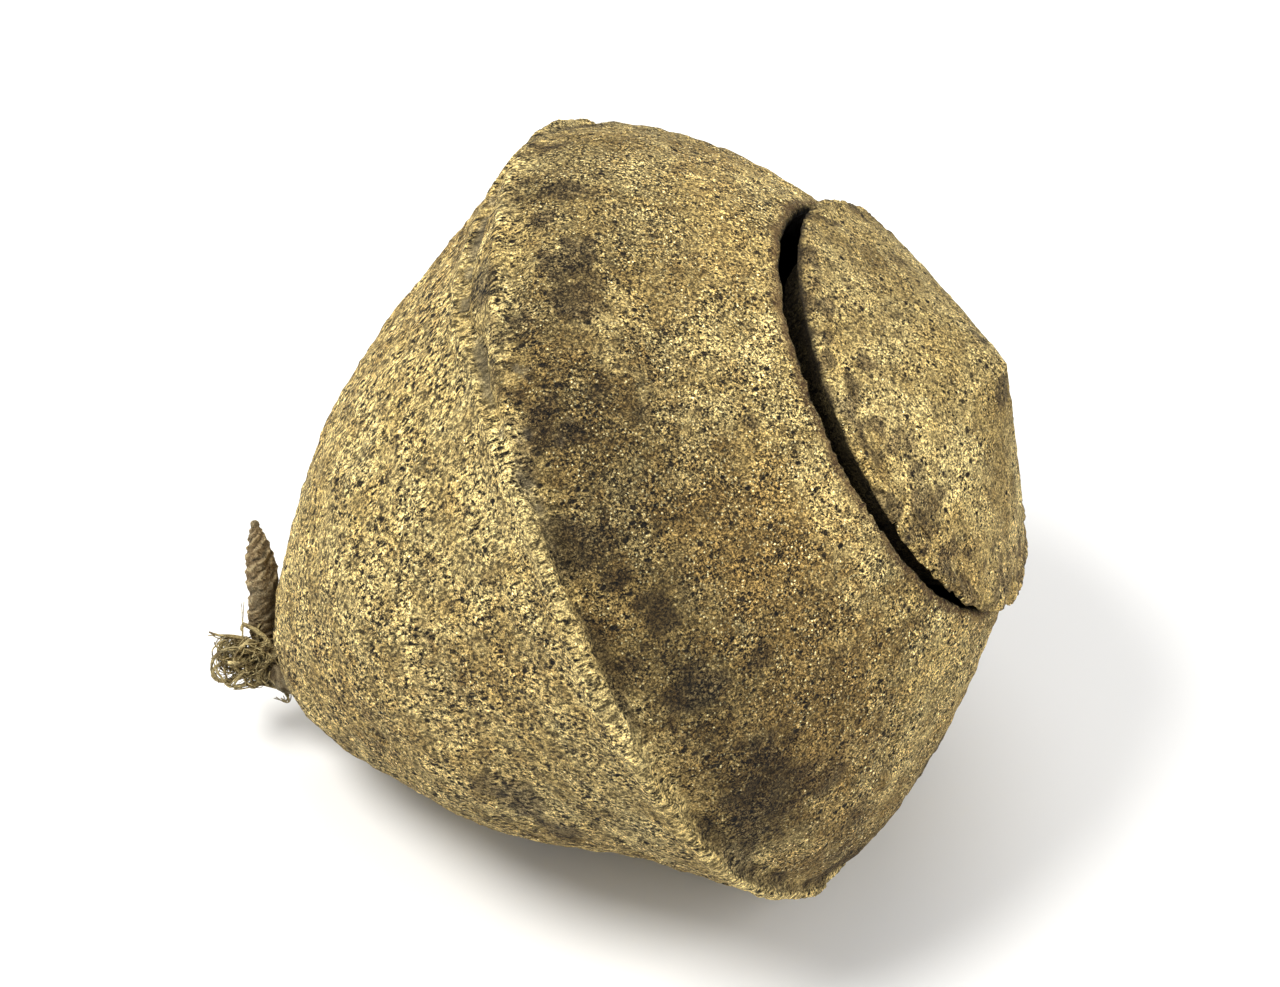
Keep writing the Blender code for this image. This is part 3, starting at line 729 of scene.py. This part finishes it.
# Dark marks on the lid: across it (towards the top, towards 90 degrees) and reach in mm, and how dark
LID_MARKS = (
    (-1.0, 3.5, 2.6, 0.85), (4.5, -3.0, 2.2, 0.7), (16.0, -14.0, 3.0, 0.5), (12.5, 22.0, 3.4, 0.5),
    (4.0, 26.5, 4.5, 0.55), (9.0, 24.0, 3.0, 0.5), (-14.0, 8.0, 3.0, 0.4), (-8.0, -16.0, 4.0, 0.5),
)
LID_RELIEF = (("lid_lumps", 4.0 * MM, 0.6 * MM), ("lid_grit", 1.5 * MM, 0.4 * MM))
TORN_FROM = 0.9                       # share of the lid's radius from which its rim is torn


def lid_values(point, flat, below):
    """The rind's values at a point of the lid; flat is its place across the lid, below 1 under the rim."""
    cloudy = waver(point, 8.0)
    patchy = waver(point, 3.0, (1.0, 8.0, 2.0))
    broad = waver(point, 20.0, (4.0, 4.0, 4.0))
    low_side = 0.5 - 0.5 * towards(flat, 285.0)
    edge = flat.length / LID_RADIUS
    margin = share_of((edge - 0.86 + 0.17 * low_side + 0.14 * cloudy + 0.12 * patchy) / 0.12)
    marks = 0.0
    for up, side, reach, strength in LID_MARKS:
        apart = (flat - Vector((up * MM, side * MM, 0.0))).length * (1.0 + 0.8 * patchy)
        marks = max(marks, strength * bell(apart / (reach * MM), 0.0, 0.8))
    return {
        "crust": share_of(0.10 + 0.5 * cloudy),
        "stain": share_of(0.04 + 0.7 * broad + 0.20 * margin),
        "blotch_and_shadow": share_of(max(marks, 0.62 * margin * share_of(0.50 + 1.4 * patchy))),
        "pale_crest_band": 0.0,
        "film": 0.22 * margin,
        "rim": 0.0,
        # The lid's side under its rim is painted dark as shade
        "inside": 0.9 * below,
        # Painted light towards 90 degrees round the lid, and brighter on its margin
        "painted_light_and_tone": 0.86 + 0.12 * margin + 0.36 * share_of(flat.y / LID_RADIUS + 0.1),
        "combed": 0.3,
    }


def finish_lid():
    lid = node_copy("lid", "lid_rind")
    even_mesh(lid, 2, LID_MESH)
    stored = {name: [] for name in RIND_VALUES}
    for vert in lid.data.vertices:
        point = to_fruit(vert.co)
        flat = Vector((point.x - LID_MIDDLE[0], point.y - LID_MIDDLE[1], 0.0))
        below = share_of((LID_Z - 0.6 * MM - point.z + 0.9 * MM * towards(flat, 6.0)) / (0.5 * MM))
        values = lid_values(point, flat, below)
        for name in RIND_VALUES:
            stored[name].append(values[name])
        if flat.length / LID_RADIUS > TORN_FROM and below < 1.0:
            torn = waver(point, 1.5) + 0.6 * waver(point, 0.8)
            out = (from_fruit((flat.x, flat.y, 0.0)) - RING_CENTRE).normalized()
            vert.co += out * min(0.1, 0.9 * torn - 0.25) * MM
    store(lid, stored)
    roughen(lid, LID_RELIEF)
    keep_inside(lid, "lid")
    take_up(lid)
    bpy.ops.object.shade_smooth()
    lid.data.materials.append(woody_skin("lid_rind"))
    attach(lid, "root")
    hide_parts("lid")


# The stalk and its frayed bark

# The shoot's middle line seen in the picture: across, down, nearer (mm) and radius (mm)
SHOOT_LINE = (
    (276, 664, -30.3, 2.5), (268, 648, -30.8, 2.6), (265, 633, -30.6, 2.2), (264, 618, -30.0, 2.2),
    (263, 597, -28.0, 2.5), (263, 572, -26.0, 2.75), (260, 550, -24.6, 2.2), (257, 535, -23.8, 1.45),
    (255, 525, -23.2, 0.85),
)
KNOB_PLACE = (255, 524.5, -23.1)
KNOB_RADIUS = 0.75 * MM
SHOOT_TURNS = 13.0
SHOOT_LAYERS = 4                      # that wind up it side by side
SHOOT_FOLD = 0.57                     # share of its length up to the overlap that throws a shadow
LAP_RISE, LAP_FALL = 0.80, 0.20       # shares of a layer's width over which it rises and falls


def nearest_on_line(point, line):
    """On a run of knots: the nearest place, how far along it is (0 to 1), its radius and its direction."""
    best = None
    for index, (start, end) in enumerate(zip(line, line[1:])):
        run = end[0] - start[0]
        share = share_of((point - start[0]).dot(run) / run.length_squared)
        place = start[0] + run * share
        apart = (point - place).length
        if best is None or apart < best[0]:
            radius = start[1] + (end[1] - start[1]) * share
            best = (apart, place, (index + share) / (len(line) - 1), radius, run)
    return best[1:]


def finish_shoot():
    """The rolled shoot on the stalk: overlapping wraps that wind up it, and a knob at its tip."""
    shoot = node_copy("stalk", "rolled_shoot")
    put_down_everything()
    bpy.ops.mesh.primitive_uv_sphere_add(segments=16, ring_count=10, radius=KNOB_RADIUS,
                                         location=from_picture(*KNOB_PLACE))
    knob = bpy.context.object
    take_up(shoot)
    knob.select_set(True)
    bpy.ops.object.join()
    even_mesh(shoot, 1, SHOOT_MESH)
    line = [(from_picture(across, down, nearer), radius * MM) for across, down, nearer, radius in SHOOT_LINE]
    raised, painted_shadow, places = [], [], []
    for vert in shoot.data.vertices:
        place, share, radius, run = nearest_on_line(vert.co, line)
        out = (vert.co - place).normalized()
        ahead = run.normalized()
        side = ahead.orthogonal().normalized()
        angle = math.atan2(out.dot(ahead.cross(side)), out.dot(side))
        sway = 0.40 * waver(vert.co, 2.2)
        turn = (SHOOT_TURNS * share - SHOOT_LAYERS * angle / (2.0 * math.pi) + sway) % 1.0
        layer = turn if turn < LAP_RISE else (1.0 - turn) / LAP_FALL * LAP_RISE
        knots = waver(vert.co, 0.9)
        lines = 0.5 + 0.5 * math.sin(2.0 * math.pi * 3.0 * (turn + sway))
        raised.append(share_of((layer - 0.5) / 0.3) * share_of(0.8 + 1.4 * knots)
                      + 0.35 * lines * share_of(0.6 + knots))
        # Painted shadow under the overlap and at the foot, and painted shade in the creases between wraps
        shadowed = share_of((SHOOT_FOLD + 0.05 * out.x - share) / 0.02) * share_of(0.35 + out.x)
        foot = share_of((0.10 - share) / 0.05)
        crease = 0.9 * share_of((0.20 - layer) / 0.12) * share_of(0.7 + 1.5 * knots)
        painted_shadow.append(max(crease, 0.72 * shadowed, 0.6 * foot))
        height = 0.42 * (layer - 0.5) + 0.10 * lines + 0.30 * knots
        places.append(vert.co + out * height * MM * min(1.0, radius / (1.5 * MM)))
    move_points(shoot, places)
    store(shoot, {"raised": raised, "painted_shadow": painted_shadow})
    take_up(shoot)
    bpy.ops.object.shade_smooth()
    shoot.data.materials.append(bark_skin("shoot_bark", BARK, BARK_PALE, (1.0, 1.0, 1.0)))
    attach(shoot, "root")
    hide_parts("stalk")


# Strands drawn as the picture shows them: across, down, nearer (mm), each with its radius in mm
STRANDS = (
    (0.34, ((268, 650, -28), (250, 640, -27), (232, 637, -26), (218, 636, -26), (209, 632, -26))),
    (0.30, ((262, 655, -27), (242, 646, -25), (222, 648, -24), (210, 660, -25), (211, 672, -26), (222, 682, -27))),
    (0.28, ((262, 664, -27), (246, 668, -25), (236, 680, -25), (232, 690, -26), (224, 684, -27), (216, 668, -28))),
    (0.26, ((266, 668, -28), (252, 676, -27), (244, 686, -27), (232, 690, -28), (226, 680, -28))),
    (0.24, ((250, 640, -26), (238, 648, -24), (232, 660, -24), (236, 672, -25), (246, 676, -26))),
    (0.22, ((232, 640, -26), (224, 652, -25), (222, 664, -25), (226, 676, -26), (230, 684, -27))),
    (0.26, ((266, 666, -29), (276, 674, -30), (284, 684, -30), (291, 694, -29), (286, 704, -29), (281, 698, -29))),
    (0.16, ((272, 672, -29), (281, 686, -29), (293, 699, -28), (288, 706, -28), (276, 697, -28))),
    (0.12, ((243, 655, -27), (241, 638, -26), (243, 618, -26), (244, 602, -26))),
    (0.20, ((262, 634, -29), (252, 630, -28), (248, 624, -28))),
    (0.24, ((258, 640, -28), (256, 628, -28), (262, 620, -28), (272, 622, -29), (274, 632, -30))),
    (0.24, ((270, 640, -29), (262, 646, -27), (252, 650, -26), (244, 658, -26), (240, 668, -26))),
    (0.22, ((274, 650, -29), (264, 658, -27), (254, 668, -26), (248, 680, -27), (256, 688, -28), (266, 684, -29))),
    (0.22, ((276, 660, -29), (268, 672, -28), (262, 684, -28), (254, 690, -29), (246, 684, -29))),
)
# Each drawn strand runs with finer copies of itself
STRAND_COPIES = 3
COPY_SPREAD = 0.55                    # mm
COPY_THICKNESS = 0.55
# Where the mat's foot and top are in the picture; the lowest loop is drawn up towards the foot
MAT_FOOT = (266, 686, -28)
MAT_TOP = (250, 636, -28)
LOOP_DRAWN_UP = 0.8
# Fine threads in the mat: where they start in the picture, how they wander, and their radius in mm
THREADS = 400
THREAD_SEED = 5
THREADS_ACROSS = (218, 270)
THREADS_DOWN = (642, 682)
THREADS_NEARER = (-30.5, -25.5)
THREAD_BEND = 0.9
THREAD_STEP = (0.6, 1.3)
THREAD_RADIUS = (0.09, 0.20)
STRAND_CLEARANCE = 0.3 * MM           # from the flank


def add_strand(curve, knots, thickness):
    spline = curve.splines.new("NURBS")
    spline.points.add(len(knots) - 1)
    spline.order_u = 4
    spline.use_endpoint_u = True
    for index, (point, knot) in enumerate(zip(spline.points, knots)):
        point.co = (*knot, 1.0)
        taper = 1.0 - 0.5 * index / (len(knots) - 1)
        point.radius = thickness * taper


def add_drawn_strands(curve, draw):
    for thickness, knots in STRANDS:
        for copy in range(STRAND_COPIES):
            spread = 0.0 if copy == 0 else COPY_SPREAD
            places = []
            for across, down, nearer in knots:
                shift = Vector([draw.uniform(-spread, spread) for _ in range(3)]) * MM
                places.append(from_picture(across, down, nearer) + shift)
            add_strand(curve, places, thickness * (1.0 if copy == 0 else COPY_THICKNESS))


def add_threads(curve, draw):
    """Threads that wander through the mat; those that stray out of it are left out."""
    foot, top = height_seen(from_picture(*MAT_FOOT)), height_seen(from_picture(*MAT_TOP))
    box_end = CAD_BOX[0][0] + 0.5 * MM
    for _ in range(THREADS):
        across = draw.uniform(*THREADS_ACROSS)
        down = draw.uniform(*THREADS_DOWN) - 0.25 * (272 - across)
        knots = [from_picture(across, down, draw.uniform(*THREADS_NEARER))]
        heading = Vector((draw.uniform(-1.0, 0.6), draw.uniform(-0.7, 0.7), draw.uniform(-0.6, 0.6)))
        heading.normalize()
        for _ in range(draw.randint(3, 5)):
            bend = Vector([draw.uniform(-1.0, 1.0) for _ in range(3)])
            heading = (heading + THREAD_BEND * bend).normalized()
            knots.append(knots[-1] + heading * draw.uniform(*THREAD_STEP) * MM)
        heights = [height_seen(knot) for knot in knots]
        if min(knot.x for knot in knots) > box_end and min(heights) > foot and max(heights) < top:
            add_strand(curve, knots, draw.uniform(*THREAD_RADIUS))


def draw_up_loop(mat):
    """Draws the lowest loop, beside the mat's foot, up towards it."""
    foot_place = from_picture(*MAT_FOOT)
    foot, foot_side = height_seen(foot_place), (foot_place - RING_CENTRE).dot(EYE_RIGHT)
    places = []
    for vert in mat.data.vertices:
        drop = foot - height_seen(vert.co)
        beside = (vert.co - RING_CENTRE).dot(EYE_RIGHT) < foot_side
        places.append(vert.co + EYE_UP * (LOOP_DRAWN_UP * drop) if drop > 0.0 and beside else vert.co.copy())
    move_points(mat, places)


def finish_frayed_bark():
    """Matted and looping strands of torn bark round the stalk's foot."""
    mat = node_copy("bark_fibres", "frayed_bark")
    apply_modifier(mat, "soften", "SMOOTH", factor=0.4, iterations=2)
    draw_up_loop(mat)
    data = bpy.data.curves.new("strands", "CURVE")
    data.dimensions = "3D"
    data.bevel_depth = 1.0 * MM       # for a point's radius of 1, so that radii are in mm
    data.bevel_resolution = 1
    data.resolution_u = 4
    draw = random.Random(THREAD_SEED)
    add_drawn_strands(data, draw)
    add_threads(data, draw)
    strands = bpy.data.objects.new("strands", data)
    bpy.context.scene.collection.objects.link(strands)
    take_up(strands)
    bpy.ops.object.convert(target="MESH")
    take_up(mat)
    strands.select_set(True)
    bpy.ops.object.join()
    for vert in mat.data.vertices:
        point = to_fruit(vert.co)
        reach = math.hypot(point.x, point.y)
        surface = BASE_Z + FLANK_LENGTH * (reach / FLANK_RADIUS) ** (1.0 / FLANK_POWER)
        if point.z > surface - STRAND_CLEARANCE:
            vert.co -= FRUIT_AXIS * (point.z - surface + STRAND_CLEARANCE)
    hold_between(mat, *CAD_BOX)
    tangles = [waver(vert.co, 1.1) for vert in mat.data.vertices]
    # Paler raised strands, and painted shade in the mat where the tangle noise is low
    store(mat, {"raised": [share_of(0.45 + 1.3 * tangle) for tangle in tangles],
                "painted_shadow": [share_of(-0.25 - 1.5 * tangle) for tangle in tangles]})
    bpy.ops.object.shade_smooth()
    mat.data.materials.clear()
    mat.data.materials.append(bark_skin("bark_fibre", STRAW, STRAW_PALE, (0.5, 1.0, 1.0)))
    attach(mat, "root")
    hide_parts("bark_fibres")


set_camera()
light_studio()
lay_floor()
finish_pot()
finish_lid()
finish_shoot()
finish_frayed_bark()
